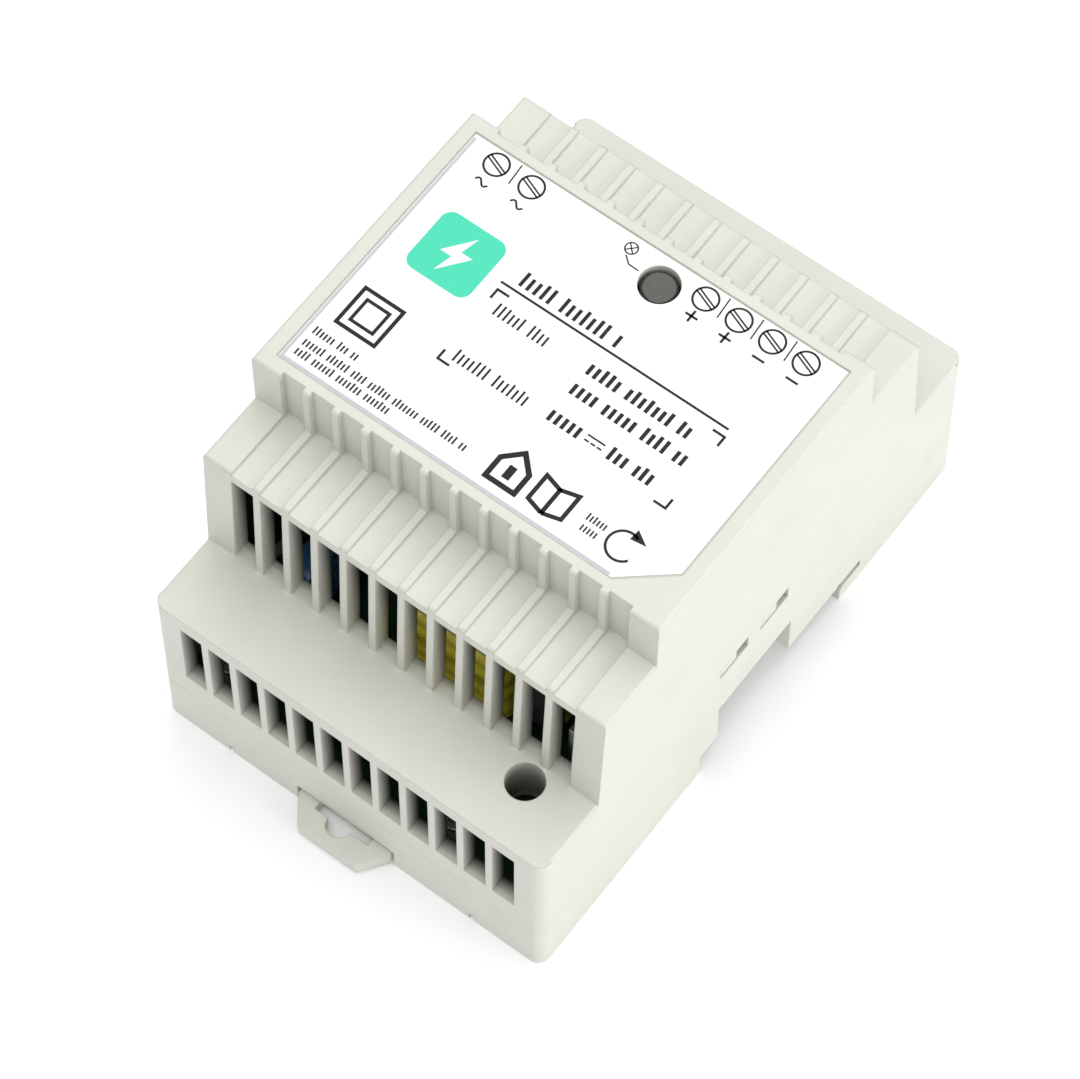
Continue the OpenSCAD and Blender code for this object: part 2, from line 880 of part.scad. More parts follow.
module switch_transistor() color("black") in_frame() {
  power_package(primary_sink_x - 2.2, switch_y, pcb_top + 3.5, -90);
}

module primary_heatsink() color("silver") in_frame() {
  difference() {
    block([primary_sink_x, -10, pcb_top], [primary_sink_x + 1.6, 9, pcb_top + sink_h]);
    translate([primary_sink_x - e, switch_y, pcb_top + tab_hole_z])
      rotate([0, 90, 0])
        cylinder(r = 1.25, h = 3);
  }
}

module output_diode() color("black") in_frame() {
  power_package(output_sink_x - 2.2, diode_y, pcb_top + 3.5, -90);
}

module output_heatsink() color("silver") in_frame() {
  difference() {
    block([output_sink_x, -30.4, pcb_top], [output_sink_x + 1.6, 17, pcb_top + sink_h]);
    translate([output_sink_x - e, diode_y, pcb_top + tab_hole_z])
      rotate([0, 90, 0])
        cylinder(r = 1.25, h = 3);
  }
}

module heatsink_screws() color("silver") in_frame() {
  for (p = [[primary_sink_x, switch_y], [output_sink_x, diode_y]])
    translate([p[0] - 1.3, p[1], pcb_top + tab_hole_z])
      rotate([0, -90, 0])
        pan_head_screw(1.23, 2.9, 2.4, 1.8);
}

module dip_package(x, y, w, l, pins) {
  translate([x, y, pcb_top]) {
    block([-w / 2, -l / 2, 0.5], [w / 2, l / 2, 3.9]);
    for (i = [0:pins - 1], s = [-1, 1])
      translate([s * (w / 2 + 0.4), (i - (pins - 1) / 2) * 2.54, 0])
        block([-0.5, -0.5, 0], [0.5, 0.5, 2.3]);
  }
}

module pwm_controller() color("black") in_frame() {
  dip_package(-11.5, 16.5, 6.4, 9.4, 4);
}

module optocoupler() color("black") in_frame() {
  dip_package(4.2, 4, 6.4, 4.6, 2);
}

module can_capacitor(x, y, r, h) {
  difference() {
    union() {
      tube(r, pcb_top + 0.3, pcb_top + h - 0.4, x, y);
      tube(r - 0.5, pcb_top, pcb_top + h, x, y);
    }
    for (a = [0, 90])
      translate([x, y, pcb_top + h])
        rotate([0, 0, a])
          cube([r * 1.3, 0.4, 0.5], center = true);
  }
}

module output_capacitors() color("midnightblue") in_frame() {
  can_capacitor(13, 25, 5, 25);
  can_capacitor(22.4, 25.5, 4, 20);
  can_capacitor(13, 14.8, 5, 25);
}

module output_choke() color("saddlebrown") in_frame() {
  tube(4, pcb_top, pcb_top + 1.5, 13.5, 3.5);
  tube(3.2, pcb_top, pcb_top + 11, 13.5, 3.5);
  tube(4, pcb_top + 9.5, pcb_top + 11, 13.5, 3.5);
}

// Axial resistors lying on the board.
module power_resistors() color("tan") in_frame() {
  for (p = [[-12, -36.5], [-4, -36.5], [4, -36.5]])
    translate([p[0], p[1], pcb_top + 1.7])
      rotate([90, 0, 90]) {
        translate([0, 0, -3.2])
          cylinder(r = 1.25, h = 6.4);
        for (z = [-3.6, 2.4])
          translate([0, 0, z])
            cylinder(r = 1.45, h = 1.2);
      }
}

top_housing();
base_housing();
front_label();
rail_foot();
foot_spring();
main_pcb();
pcb_screws();
insulation_sheet();
input_terminal_block();
output_terminal_block();
terminal_contacts();
input_screw_1();
input_screw_2();
output_screw_1();
output_screw_2();
output_screw_3();
output_screw_4();
input_cage_1();
input_cage_2();
output_cage_1();
output_cage_2();
output_cage_3();
output_cage_4();
trimmer_body();
trimmer_rotor();
status_led();
led_spacer();
input_fuse();
inrush_thermistor();
surge_varistor();
x_capacitor();
choke_core();
choke_windings();
bridge_rectifier();
bulk_capacitor();
y_capacitor();
transformer_core();
transformer_bobbin();
transformer_winding();
transformer_band();
switch_transistor();
primary_heatsink();
output_diode();
output_heatsink();
heatsink_screws();
pwm_controller();
optocoupler();
output_capacitors();
output_choke();
power_resistors();
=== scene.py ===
"""Looks of a DIN rail power supply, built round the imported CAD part.

Lengths are metres in the part's own frame. The label's marks alone are drawn in mm from its centre.
"""

import json
import math
import random

import bmesh
import bpy
from mathutils import Matrix, Vector


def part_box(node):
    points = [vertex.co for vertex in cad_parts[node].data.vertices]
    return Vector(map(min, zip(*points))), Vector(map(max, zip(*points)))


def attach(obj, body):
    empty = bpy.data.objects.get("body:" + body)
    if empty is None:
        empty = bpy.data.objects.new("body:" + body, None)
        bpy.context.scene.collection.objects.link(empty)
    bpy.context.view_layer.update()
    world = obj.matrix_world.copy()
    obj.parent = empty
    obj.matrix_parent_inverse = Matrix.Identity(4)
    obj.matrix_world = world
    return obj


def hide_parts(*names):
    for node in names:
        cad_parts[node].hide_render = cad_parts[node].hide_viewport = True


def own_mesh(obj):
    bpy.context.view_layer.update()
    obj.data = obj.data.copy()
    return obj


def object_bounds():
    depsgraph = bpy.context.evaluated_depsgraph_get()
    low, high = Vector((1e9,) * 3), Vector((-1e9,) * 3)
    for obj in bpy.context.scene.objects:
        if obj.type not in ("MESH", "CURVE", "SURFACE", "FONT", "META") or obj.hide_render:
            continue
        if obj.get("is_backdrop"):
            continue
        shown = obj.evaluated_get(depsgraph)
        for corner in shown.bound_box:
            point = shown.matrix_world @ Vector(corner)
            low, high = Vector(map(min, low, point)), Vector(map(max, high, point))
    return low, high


MM = 0.001
PLASTIC = (0.655, 0.655, 0.585)
# Painted shade: the near-black colour given to the housing's inside.
PAINTED_INSIDE_SHADE = (0.035, 0.035, 0.033)
INK = (0.012, 0.012, 0.014)
BADGE_GREEN = (0.07, 0.66, 0.43)
FLOOR_GLOW = 0.07

# The housing's walls, which bound the shade painted on its inside.
WALL = 2.4 * MM
SIDE_WALL = 1.9 * MM
LIP_SIDE = 2.2 * MM
LIP_TOP = 10 * MM
RAIL_SEAT_WALL = 2.05 * MM
PANEL_RECESS = 1 * MM
LOW_TREAD = 25.4 * MM
TUBE_RADIUS = 3.8 * MM
TUBE_LENGTH = 8 * MM

# Half length and height of the hollow under each step of the cover, where shade is painted.
TIERS = (
    (45.9 * MM - WALL, LOW_TREAD - WALL),
    (33.1 * MM - WALL, 45.9 * MM - WALL),
    (22.5 * MM - PANEL_RECESS - WALL, 55.4 * MM - WALL),
)


# ---------------------------------------------------------------- materials

class Paint:
    """A Principled material under construction, with short calls for its procedural nodes."""

    def __init__(self, name, roughness=0.5, metallic=0.0, ior=1.5):
        self.material = bpy.data.materials.new(name)
        self.material.use_nodes = True
        self.nodes = self.material.node_tree.nodes
        self.links = self.material.node_tree.links
        self.shader = self.nodes["Principled BSDF"]
        self.shader.inputs["Roughness"].default_value = roughness
        self.shader.inputs["Metallic"].default_value = metallic
        self.shader.inputs["IOR"].default_value = ior
        self.place = self.nodes.new("ShaderNodeTexCoord").outputs["Object"]
        self.normal = None

    def round_edges(self, radius):
        """Rounds the shading of sharp edges over that radius."""
        self.normal = self.add("ShaderNodeBevel", {"samples": 6}, Radius=radius).outputs[0]
        self.links.new(self.normal, self.shader.inputs["Normal"])

    def add(self, kind, settings=(), **inputs):
        """A new node. Inputs are linked when given a socket and set when given a value."""
        node = self.nodes.new(kind)
        for key, value in dict(settings).items():
            setattr(node, key, value)
        for key, value in inputs.items():
            socket = node.inputs[key.replace("_", " ")]
            if isinstance(value, bpy.types.NodeSocket):
                self.links.new(value, socket)
            else:
                socket.default_value = value
        return node

    def noise(self, size, detail=2.0, roughness=0.5, stretch=(1, 1, 1)):
        """Noise whose features are about size metres across."""
        place = self.add("ShaderNodeMapping", Vector=self.place, Scale=stretch).outputs[0]
        inputs = {"Vector": place, "Scale": 1 / size, "Detail": detail, "Roughness": roughness}
        return self.add("ShaderNodeTexNoise", **inputs).outputs["Fac"]

    def wave(self, size, direction="Z", distortion=0.0):
        """Bands whose pitch is size metres, across the named axis."""
        node = self.add(
            "ShaderNodeTexWave",
            {"wave_type": "BANDS", "bands_direction": direction},
            Vector=self.place,
            Scale=math.pi / (10 * size),
            Distortion=distortion,
        )
        return node.outputs["Fac"]

    def along(self, axis):
        """One coordinate of the place on the object."""
        return self.add("ShaderNodeSeparateXYZ", Vector=self.place).outputs[axis]

    def math(self, operation, first, second):
        """The result of a math node on two sockets or values."""
        node = self.add("ShaderNodeMath", {"operation": operation})
        for socket, value in zip(node.inputs, (first, second)):
            if isinstance(value, bpy.types.NodeSocket):
                self.links.new(value, socket)
            else:
                socket.default_value = value
        return node.outputs[0]

    def inside(self, low, high):
        """Mask of the painted shade: 1 in the hollow of the stepped housing whose box is low..high, and 0
        on its outer skin.

        It fades out through the end walls, and up the adjuster's tube, whose bore is also painted dark.
        """
        middle = (low.y + high.y) / 2
        across = self.math("ABSOLUTE", self.along("X"), 0)
        length = self.math("ABSOLUTE", self.math("SUBTRACT", self.along("Y"), middle), 0)
        height = self.along("Z")
        found = None
        for reach, top in TIERS:
            within = self.spread(length, 1.0, 0.0, reach + 0.4 * MM, reach + 2.2 * MM)
            tier = self.math("MULTIPLY", within, self.math("LESS_THAN", height, top))
            found = tier if found is None else self.math("MAXIMUM", found, tier)
        side = self.spread(height, high.x - LIP_SIDE, high.x - SIDE_WALL, LIP_TOP, LIP_TOP + 0.1 * MM)
        hollow = self.math("MULTIPLY", found, self.math("LESS_THAN", across, side))
        hollow = self.math("MULTIPLY", hollow, self.math("GREATER_THAN", height, RAIL_SEAT_WALL))
        from_adjuster = self.from_axis("trimmer_rotor")
        hollow = self.math("MULTIPLY", hollow, self.math("GREATER_THAN", from_adjuster, TUBE_RADIUS))
        # Painted shade down the adjuster's bore, fading out up to the tread.
        depth = self.spread(height, 0.9, 0.0, LOW_TREAD - TUBE_LENGTH, LOW_TREAD)
        tube = self.math("MULTIPLY", depth, self.math("LESS_THAN", from_adjuster, TUBE_RADIUS))
        return self.math("MAXIMUM", hollow, tube)

    def from_axis(self, node):
        """Distance from the upright axis through the middle of a CAD node."""
        low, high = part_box(node)
        away = self.add("ShaderNodeVectorMath", {"operation": "SUBTRACT"})
        self.links.new(self.place, away.inputs[0])
        away.inputs[1].default_value = (low + high) / 2
        flat = self.add("ShaderNodeVectorMath", {"operation": "MULTIPLY"})
        self.links.new(away.outputs[0], flat.inputs[0])
        flat.inputs[1].default_value = (1, 1, 0)
        length = self.add("ShaderNodeVectorMath", {"operation": "LENGTH"})
        self.links.new(flat.outputs[0], length.inputs[0])
        return length.outputs["Value"]

    def ramp(self, factor, *stops):
        """A colour ramp with stops (position, colour)."""
        node = self.add("ShaderNodeValToRGB", Fac=factor)
        ramp = node.color_ramp
        while len(ramp.elements) < len(stops):
            ramp.elements.new(0.5)
        for element, (position, colour) in zip(ramp.elements, stops):
            element.position = position
            element.color = (*colour, 1)
        return node.outputs["Color"]

    def spread(self, factor, low, high, first=0.0, last=1.0):
        """Maps a factor from first..last to low..high."""
        inputs = {"Value": factor, "From_Min": first, "From_Max": last, "To_Min": low, "To_Max": high}
        return self.add("ShaderNodeMapRange", **inputs).outputs[0]

    def colour(self, source):
        self.links.new(source, self.shader.inputs["Base Color"])

    def rough(self, source):
        self.links.new(source, self.shader.inputs["Roughness"])

    def bump(self, height, depth):
        """Adds a bump of that depth on top of the ones before it."""
        node = self.add("ShaderNodeBump", Height=height, Distance=depth, Strength=1.0)
        if self.normal is not None:
            self.links.new(self.normal, node.inputs["Normal"])
        self.normal = node.outputs[0]
        self.links.new(self.normal, self.shader.inputs["Normal"])


def shade(colour, factor):
    """A lighter or darker tone of a colour."""
    return tuple(min(1, c * factor) for c in colour)


def moulded_plastic(name, colour, roughness=0.42):
    """Injection moulding with a fine eroded grain, faint flow mottling and slightly uneven gloss."""
    paint = Paint(name, roughness)
    paint.round_edges(0.15 * MM)
    mottle = paint.noise(9 * MM, detail=4)
    paint.colour(paint.ramp(mottle, (0.25, shade(colour, 0.965)), (0.75, shade(colour, 1.03))))
    paint.rough(paint.spread(paint.noise(0.8 * MM, detail=3), roughness - 0.08, roughness + 0.1))
    paint.bump(paint.noise(0.22 * MM, detail=2), 0.02 * MM)
    return paint.material


def housing_plastic():
    """The housing's light grey moulding, with painted shade: its inside is coloured much darker by
    position.
    """
    paint = Paint("housing_plastic", 0.42)
    paint.round_edges(0.3 * MM)
    mottle = paint.noise(9 * MM, detail=4)
    skin = paint.ramp(mottle, (0.25, shade(PLASTIC, 0.97)), (0.75, shade(PLASTIC, 1.03)))
    low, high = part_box("top_housing")
    # Painted shade: the hollow and the adjuster's bore are coloured near black by position, standing in
    # for the shade inside.
    painted_shade_mask = paint.inside(low, high)
    mix = paint.add("ShaderNodeMix", {"data_type": "RGBA"})
    paint.links.new(painted_shade_mask, mix.inputs["Factor"])
    paint.links.new(skin, mix.inputs["A"])
    mix.inputs["B"].default_value = (*PAINTED_INSIDE_SHADE, 1)
    paint.colour(mix.outputs["Result"])
    paint.rough(paint.spread(paint.noise(0.8 * MM, detail=3), 0.36, 0.52))
    paint.bump(paint.noise(0.2 * MM, detail=2), 0.022 * MM)
    return paint.material


def label_film():
    """White polyester film with a faint orange-peel gloss."""
    white = (0.86, 0.865, 0.85)
    paint = Paint("label_film", 0.3)
    paint.colour(paint.ramp(paint.noise(14 * MM), (0.3, white), (0.7, shade(white, 1.012))))
    paint.rough(paint.spread(paint.noise(1.5 * MM, detail=3), 0.26, 0.36))
    paint.bump(paint.noise(0.7 * MM), 0.004 * MM)
    return paint.material


def printing_ink(name, colour):
    """Screen-printed ink, a little uneven in cover and gloss."""
    paint = Paint(name, 0.45)
    paint.shader.inputs["Specular IOR Level"].default_value = 0.2
    cover = paint.noise(0.5 * MM, detail=3)
    paint.colour(paint.ramp(cover, (0.3, shade(colour, 0.97)), (0.7, shade(colour, 1.03))))
    paint.rough(paint.spread(paint.noise(0.3 * MM), 0.34, 0.5))
    return paint.material


def plated_metal(name, colour, roughness=0.3, brush=(1, 1, 12)):
    """Plated or drawn metal with fine streaks along one way and dull patches."""
    paint = Paint(name, roughness, metallic=1.0)
    streaks = paint.noise(0.6 * MM, detail=4, stretch=brush)
    paint.colour(paint.ramp(streaks, (0.3, shade(colour, 0.86)), (0.75, shade(colour, 1.08))))
    paint.rough(paint.spread(paint.noise(1.6 * MM, detail=3), roughness - 0.08, roughness + 0.16))
    paint.bump(streaks, 0.006 * MM)
    return paint.material


def solder_mask():
    """Green board lacquer over laminate, glossy, with the weave just showing; its green is darkened near
    to black as painted shade for the board's place inside the housing.
    """
    paint = Paint("solder_mask", 0.28)
    # Painted shade: a real green, darkened to near black for the shade inside the housing.
    green = (0.006, 0.034, 0.014)
    clouds = paint.noise(3 * MM, detail=4)
    paint.colour(paint.ramp(clouds, (0.3, shade(green, 0.8)), (0.7, shade(green, 1.25))))
    paint.rough(paint.spread(paint.noise(0.9 * MM), 0.22, 0.4))
    weave = paint.math("MULTIPLY", paint.wave(0.5 * MM, "X"), paint.wave(0.5 * MM, "Y"))
    paint.bump(weave, 0.01 * MM)
    return paint.material


def fibre_sheet():
    """Pale pressed insulating fibre with short random hairs."""
    paint = Paint("insulating_film", 0.75)
    hairs = paint.noise(0.5 * MM, detail=6, stretch=(1, 4, 1))
    paint.colour(paint.ramp(hairs, (0.3, (0.6, 0.57, 0.47)), (0.7, (0.74, 0.71, 0.61))))
    paint.bump(hairs, 0.02 * MM)
    return paint.material


def dipped_coating(name, colour, roughness=0.25):
    """Thick dipped lacquer that sags a little over what is under it."""
    paint = Paint(name, roughness)
    sag = paint.noise(2.6 * MM, detail=2)
    paint.colour(paint.ramp(sag, (0.25, shade(colour, 0.8)), (0.75, shade(colour, 1.2))))
    paint.rough(paint.spread(paint.noise(0.7 * MM, detail=3), roughness - 0.07, roughness + 0.14))
    paint.bump(sag, 0.25 * MM)
    return paint.material


def sintered_ferrite():
    """Dark grey sintered core with a fine speckle."""
    paint = Paint("ferrite", 0.55, metallic=0.15)
    speck = paint.noise(0.25 * MM, detail=5, roughness=0.7)
    paint.colour(paint.ramp(speck, (0.3, (0.03, 0.03, 0.033)), (0.75, (0.085, 0.085, 0.09))))
    paint.rough(paint.spread(speck, 0.4, 0.7))
    paint.bump(speck, 0.03 * MM)
    return paint.material


def enamelled_wire():
    """Copper under amber enamel."""
    paint = Paint("enamelled_wire", 0.22, metallic=0.85)
    tone = paint.noise(1.2 * MM, detail=3)
    paint.colour(paint.ramp(tone, (0.3, (0.42, 0.14, 0.04)), (0.75, (0.72, 0.33, 0.12))))
    paint.rough(paint.spread(tone, 0.16, 0.34))
    return paint.material


def wound_tape():
    """Yellow polyester tape wound in overlapping turns."""
    paint = Paint("yellow_tape", 0.25)
    turns = paint.wave(4.3 * MM, "Z", distortion=0.4)
    yellow = (0.62, 0.52, 0.035)
    paint.colour(paint.ramp(turns, (0.1, shade(yellow, 0.72)), (0.4, yellow), (0.9, shade(yellow, 1.15))))
    paint.rough(paint.spread(paint.noise(2 * MM, detail=3), 0.18, 0.4))
    paint.bump(turns, 0.06 * MM)
    paint.bump(paint.noise(1.4 * MM, detail=3), 0.08 * MM)
    return paint.material


def capacitor_sleeve():
    """Shrunk dark sleeve, with a pale polarity stripe down the side towards minus X."""
    paint = Paint("capacitor_sleeve", 0.24)
    stripe_edge = -22.4 * MM
    stripe = paint.spread(paint.along("X"), 0, 1, stripe_edge, stripe_edge + 0.2 * MM)
    dark, pale = (0.012, 0.016, 0.035), (0.34, 0.36, 0.4)
    paint.colour(paint.ramp(stripe, (0.0, pale), (0.6, dark)))
    paint.rough(paint.spread(paint.noise(2.2 * MM, detail=3), 0.18, 0.34))
    paint.bump(paint.noise(5 * MM, detail=2), 0.06 * MM)
    return paint.material


def clear_resin():
    """Diffused epoxy, dull olive, tinted near black as painted shade of the hole the lamp sits in."""
    paint = Paint("clear_resin", 0.12, ior=1.53)
    paint.shader.inputs["Transmission Weight"].default_value = 0.25
    haze = paint.noise(1.1 * MM, detail=2)
    # Painted shade: the lens colour is near black, standing in for the shade in the lamp's hole.
    paint.colour(paint.ramp(haze, (0.3, (0.03, 0.03, 0.022)), (0.7, (0.05, 0.05, 0.037))))
    paint.rough(paint.spread(haze, 0.08, 0.2))
    return paint.material


def floor_material():
    """White paper with a slight glow, which keeps the shadows pale."""
    paint = Paint("floor_white", 0.7)
    clouds = paint.noise(200 * MM, detail=1)
    paint.colour(paint.ramp(clouds, (0.3, (0.93, 0.935, 0.94)), (0.7, (0.95, 0.955, 0.96))))
    paint.shader.inputs["Emission Color"].default_value = (1, 1, 1, 1)
    paint.shader.inputs["Emission Strength"].default_value = FLOOR_GLOW
    return paint.material


def make_materials():
    """One material for each slot of the record, by slot name."""
    return {
        "housing_plastic": housing_plastic(),
        "label_film": label_film(),
        "spring_steel": plated_metal("spring_steel", (0.5, 0.5, 0.5), 0.25),
        "board_laminate": solder_mask(),
        "zinc_steel": plated_metal("zinc_steel", (0.62, 0.62, 0.6), 0.32),
        "insulating_film": fibre_sheet(),
        "terminal_plastic": moulded_plastic("terminal_plastic", (0.02, 0.15, 0.045), 0.38),
        "tinned_brass": plated_metal("tinned_brass", (0.68, 0.66, 0.58), 0.28),
        "white_plastic": moulded_plastic("white_plastic", (0.72, 0.72, 0.68), 0.4),
        "clear_resin": clear_resin(),
        "dark_plastic": moulded_plastic("dark_plastic", (0.022, 0.022, 0.024), 0.45),
        "coated_ceramic": dipped_coating("coated_ceramic", (0.03, 0.055, 0.028), 0.35),
        "blue_ceramic": dipped_coating("blue_ceramic", (0.05, 0.15, 0.32), 0.25),
        "film_capacitor": moulded_plastic("film_capacitor", (0.55, 0.42, 0.05), 0.3),
        "ferrite": sintered_ferrite(),
        "enamelled_wire": enamelled_wire(),
        "capacitor_sleeve": capacitor_sleeve(),
        "yellow_tape": wound_tape(),
        "aluminium_sheet": plated_metal("aluminium_sheet", (0.66, 0.67, 0.68), 0.34, brush=(12, 12, 1)),
        "resistor_lacquer": dipped_coating("resistor_lacquer", (0.5, 0.36, 0.19), 0.4),
    }


# ---------------------------------------------------------------- CAD pieces

def soften(piece, width):
    """Rounds a CAD piece's edges by modifiers alone, with smooth shading over curved faces."""
    mesh = piece.data
    for polygon in mesh.polygons:
        polygon.use_smooth = True
    for name in ("custom_normal", "sharp_edge", "sharp_face"):
        if name in mesh.attributes:
            mesh.attributes.remove(mesh.attributes[name])
    weld = piece.modifiers.new("weld", "WELD")
    weld.merge_threshold = 0.002 * MM
    flat = piece.modifiers.new("flat", "DECIMATE")
    flat.decimate_type = "DISSOLVE"
    flat.angle_limit = math.radians(1)
    bevel = piece.modifiers.new("edges", "BEVEL")
    bevel.limit_method = "ANGLE"
    bevel.angle_limit = math.radians(38)
    bevel.width = width
    bevel.segments = 2
    bevel.use_clamp_overlap = False
    bevel.harden_normals = True


def finish_cad(frame, materials):
    """Every CAD node gets the material of its slot, and most get soft edges.

    The housing's edges are rounded by its material instead, and the spring is left sharp here, since
    make_foot_spring puts a finer coil in its place.
    """
    edges = {"front_label": 0.03 * MM, "terminal_contacts": 0.05 * MM, "choke_windings": 0.1 * MM}
    sharp = ("top_housing", "base_housing", "foot_spring")
    slots = {part["node"]: part["material_slot"] for part in frame["record"]["subparts"]}
    for name, piece in frame["nodes"].items():
        piece.data.materials.clear()
        piece.data.materials.append(materials[slots[name]])
        if name not in sharp:
            soften(piece, edges.get(name, 0.12 * MM))


# ---------------------------------------------------------------- pieces made here

def make_piece(name, bm, material, body):
    """Turns a bmesh into a named piece riding on a CAD body."""
    mesh = bpy.data.meshes.new(name)
    bm.to_mesh(mesh)
    bm.free()
    mesh.materials.append(material)
    piece = bpy.data.objects.new(name, mesh)
    bpy.context.scene.collection.objects.link(piece)
    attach(piece, body)
    return piece


class Print:
    """Flat marks on the front label, drawn in mm from the label's centre, each a thin closed slab."""

    THICK = 0.012 * MM

    def __init__(self, label):
        low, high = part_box(label)
        self.origin = Vector(((low.x + high.x) / 2, (low.y + high.y) / 2, high.z))
        self.bm = bmesh.new()

    def slab(self, points, lift=0.0):
        """A filled shape from its outline."""
        low = self.origin + Vector((0, 0, lift * MM - self.THICK / 2))
        rings = []
        for z in (0, self.THICK):
            rings.append([self.bm.verts.new(low + Vector((x * MM, y * MM, z))) for x, y in points])
        count = len(points)
        self.bm.faces.new(reversed(rings[0]))
        self.bm.faces.new(rings[1])
        for i in range(count):
            j = (i + 1) % count
            self.bm.faces.new((rings[0][i], rings[0][j], rings[1][j], rings[1][i]))

    def line(self, start, end, width):
        """A straight stroke with square ends."""
        start, end = Vector(start), Vector(end)
        along = (end - start).normalized() * width / 2
        across = Vector((-along.y, along.x))
        head, tail = end + along, start - along
        self.slab([tuple(c) for c in (tail - across, head - across, head + across, tail + across)])

    def path(self, points, width, closed=False):
        """A mitred stroke along a run of points."""
        points = [Vector(p) for p in points]
        count = len(points)
        left, right = [], []
        for i, point in enumerate(points):
            before = points[i - 1] if i or closed else None
            after = points[(i + 1) % count] if i < count - 1 or closed else None
            ways = []
            if before is not None:
                ways.append((point - before).normalized())
            if after is not None:
                ways.append((after - point).normalized())
            normals = [Vector((-w.y, w.x)) for w in ways]
            mitre = sum(normals, Vector((0, 0))).normalized()
            mitre *= width / 2 / max(0.3, mitre.dot(normals[0]))
            left.append(point + mitre)
            right.append(point - mitre)
        pairs = count if closed else count - 1
        low = self.origin - Vector((0, 0, self.THICK / 2))
        lift = Vector((0, 0, self.THICK))
        spots = [low + Vector((p.x, p.y, 0)) * MM for p in left + right]
        bottom = [self.bm.verts.new(s) for s in spots]
        top = [self.bm.verts.new(s + lift) for s in spots]
        for i in range(pairs):
            j = (i + 1) % count
            self.bm.faces.new((top[count + i], top[count + j], top[j], top[i]))
            self.bm.faces.new((bottom[i], bottom[j], bottom[count + j], bottom[count + i]))
            self.bm.faces.new((bottom[j], bottom[i], top[i], top[j]))
            self.bm.faces.new((bottom[count + i], bottom[count + j], top[count + j], top[count + i]))
        if not closed:
            for k in (0, count - 1):
                self.bm.faces.new((bottom[k], bottom[count + k], top[count + k], top[k]))

    def arc(self, centre, radius, width, start=0, end=360, steps=40):
        """A circle or part of one. Angles are in degrees."""
        closed = abs(end - start) >= 360
        count = steps if closed else steps + 1
        angles = [math.radians(start + (end - start) * i / steps) for i in range(count)]
        spots = [(centre[0] + radius * math.cos(a), centre[1] + radius * math.sin(a)) for a in angles]
        self.path(spots, width, closed)

    def words(self, left, right, y, height, rng, weight):
        """A line of placeholder text: words of plain upright blocks, tall and short, with no letters."""
        x = left
        stroke, gap = height * weight, height * 0.24
        while x + stroke < right:
            for _ in range(rng.randint(3, 7)):
                if x + stroke > right:
                    break
                rise = height * rng.choice((0.5, 0.32, 0.32))
                middle = x + stroke / 2
                self.line((middle, y - height / 2 + stroke / 2), (middle, y + rise - stroke / 2), stroke)
                x += stroke + gap
            x += height * 0.4

    def piece(self, name, material):
        """Turns the marks drawn so far into a piece of the label."""
        bmesh.ops.recalc_face_normals(self.bm, faces=self.bm.faces[:])
        make_piece(name, self.bm, material, "housing")


def sweep(bm, path, radius, sides=10):
    """A closed round wire of that radius along a run of points."""
    rings = []
    for i, point in enumerate(path):
        way = (path[min(i + 1, len(path) - 1)] - path[max(i - 1, 0)]).normalized()
        side = way.cross(Vector((0, 1, 0))).normalized()
        rise = side.cross(way)
        ring = []
        for k in range(sides):
            angle = 2 * math.pi * k / sides
            ring.append(bm.verts.new(point + radius * (math.cos(angle) * side + math.sin(angle) * rise)))
        rings.append(ring)
    for near, far in zip(rings, rings[1:]):
        for k in range(sides):
            bm.faces.new((near[k], near[(k + 1) % sides], far[(k + 1) % sides], far[k])).smooth = True
    bm.faces.new(reversed(rings[0]))
    bm.faces.new(rings[-1])
    bmesh.ops.recalc_face_normals(bm, faces=bm.faces[:])


def make_foot_spring(materials):
    """Coil spring in the foot's window, with a closed turn at each end.
    """
    low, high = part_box("foot_spring")
    wire, turns, steps = 0.4 * MM, 9, 28
    radius = (high.z - low.z - wire) / 2
    centre = (low + high) / 2
    closed_pitch = wire * 1.02
    lead = high.y - low.y - wire - 2 * closed_pitch
    path = []
    for i in range(turns * steps + 1):
        turn = i / steps
        open_part = min(max((turn - 1) / (turns - 2), 0), 1)
        closed_turns = min(turn, 1) + max(turn - (turns - 1), 0)
        y = low.y + wire / 2 + closed_turns * closed_pitch + open_part * lead
        angle = 2 * math.pi * turn
        path.append(Vector((centre.x + radius * math.cos(angle), y, centre.z + radius * math.sin(angle))))
    bm = bmesh.new()
    sweep(bm, path, wire / 2)
    spring = make_piece("foot_coil", bm, materials["spring_steel"], "housing")
    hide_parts("foot_spring")
    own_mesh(spring)


def screw_symbol(ink, x, y):
    """A circle crossed by a slot of two parallel lines."""
    radius = 1.68
    slope = math.radians(-21)
    ink.arc((x, y), radius, 0.3)
    centre = Vector((x, y))
    slot = Vector((math.cos(slope), math.sin(slope))) * radius * 0.97
    side = Vector((-slot.y, slot.x)).normalized() * 0.24
    for offset in (-side, side):
        ink.line(centre + offset - slot, centre + offset + slot, 0.24)


def sine_symbol(ink, x, y):
    """The wave sign for alternating current."""
    steps = 14
    spots = []
    for i in range(steps + 1):
        spots.append((x + 2 * i / steps - 1, y + 0.42 * math.sin(2 * math.pi * i / steps)))
    ink.path(spots, 0.28)


def terminal_marks(ink):
    """Screw symbols over the terminals, with dividers and polarity signs."""
    inputs = (-24.05, -18.5)
    outputs = (8.65, 13.75, 18.85, 23.95)
    for row in (inputs, outputs):
        for x in row:
            screw_symbol(ink, x, 18.0)
        for a, b in zip(row, row[1:]):
            middle = (a + b) / 2
            ink.line((middle - 0.12, 19.8), (middle + 0.12, 16.75), 0.2)
    for x in inputs:
        sine_symbol(ink, x, 14.8)
    for i, x in enumerate(outputs):
        ink.line((x - 0.75, 14.95), (x + 0.75, 14.95), 0.34)
        if i < 2:
            ink.line((x, 14.2), (x, 15.7), 0.34)


